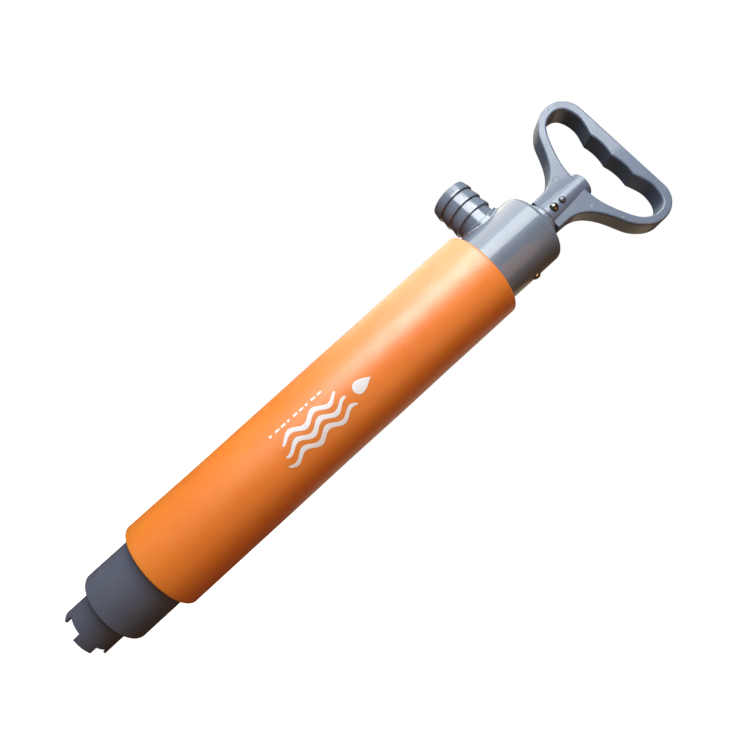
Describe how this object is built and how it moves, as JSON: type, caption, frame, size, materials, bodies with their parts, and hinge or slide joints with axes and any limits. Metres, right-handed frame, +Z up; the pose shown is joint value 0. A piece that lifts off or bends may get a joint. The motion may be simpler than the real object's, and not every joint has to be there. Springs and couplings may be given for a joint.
{
  "type": "manual bilge pump",
  "caption": "Hand-operated piston pump with a foam-sleeved barrel, lugged intake spigot, barbed side outlet and loop handle on a sliding, turning rod.",
  "frame": {"origin": "on the pump's axis, in the plane of the intake lugs' tips, on which the upright pump stands", "axes": "+Z up the pump's axis from the intake to the grip, -X along the outlet, +Y away from the side of the handle that carries the fasteners"},
  "size_m": [0.1224, 0.069, 0.51],
  "materials": {
    "grey_plastic": "satin moulded plastic, bluish grey",
    "grey_handle": "satin moulded plastic, slightly lighter bluish grey",
    "grey_rod": "smooth extruded plastic tube",
    "orange_foam": "matt closed-cell foam with a smooth skin",
    "black_rubber": "matt black rubber",
    "white_acetal": "machined natural plastic",
    "stainless": "polished stainless steel",
    "dull_metal": "dull cast aluminium"
  },
  "bodies": {
    "barrel": {"barrel_tube": "grey_plastic", "foam_sleeve": "orange_foam", "intake_cap": "grey_plastic", "cap_screw": "stainless", "foot_valve_seat": "grey_plastic", "foot_valve_retainer": "grey_plastic", "foot_valve_rivets": "stainless", "head_body": "grey_plastic", "outlet_spout": "grey_plastic", "head_plug_screw": "stainless", "gland_collar": "grey_plastic", "rod_seal": "black_rubber", "gland_bush": "white_acetal"},
    "foot_flap": {"foot_valve_flap": "black_rubber"},
    "sliding_seal": {"piston_seal": "black_rubber"},
    "plunger": {"pump_rod": "grey_rod", "piston_body": "white_acetal", "valve_stop": "white_acetal", "stroke_spacer": "white_acetal", "piston_screw": "stainless", "piston_washer": "stainless", "handle_bumper": "black_rubber", "handle": "grey_handle", "rod_end_plug": "grey_handle", "handle_screw": "stainless", "handle_rivet": "dull_metal"},
    "valve_disc": {"piston_valve_disc": "black_rubber"}
  },
  "joints": [
    {"name": "stroke", "type": "slide", "parent": "barrel", "child": "sliding_seal", "axis": [0, 0, 1], "range_m": [0, 0.3]},
    {"name": "handle_turn", "type": "hinge", "parent": "sliding_seal", "child": "plunger", "pos_m": [0, 0, 0.4335], "axis": [0, 0, 1], "continuous": true},
    {"name": "piston_valve_lift", "type": "slide", "parent": "plunger", "child": "valve_disc", "axis": [0, 0, 1], "range_m": [0, 0.004]},
    {"name": "foot_flap_swing", "type": "hinge", "parent": "barrel", "child": "foot_flap", "pos_m": [-0.00736, -0.00425, 0.0341], "axis": [0.5, -0.866, 0], "range_deg": [0, 40]}
  ]
}
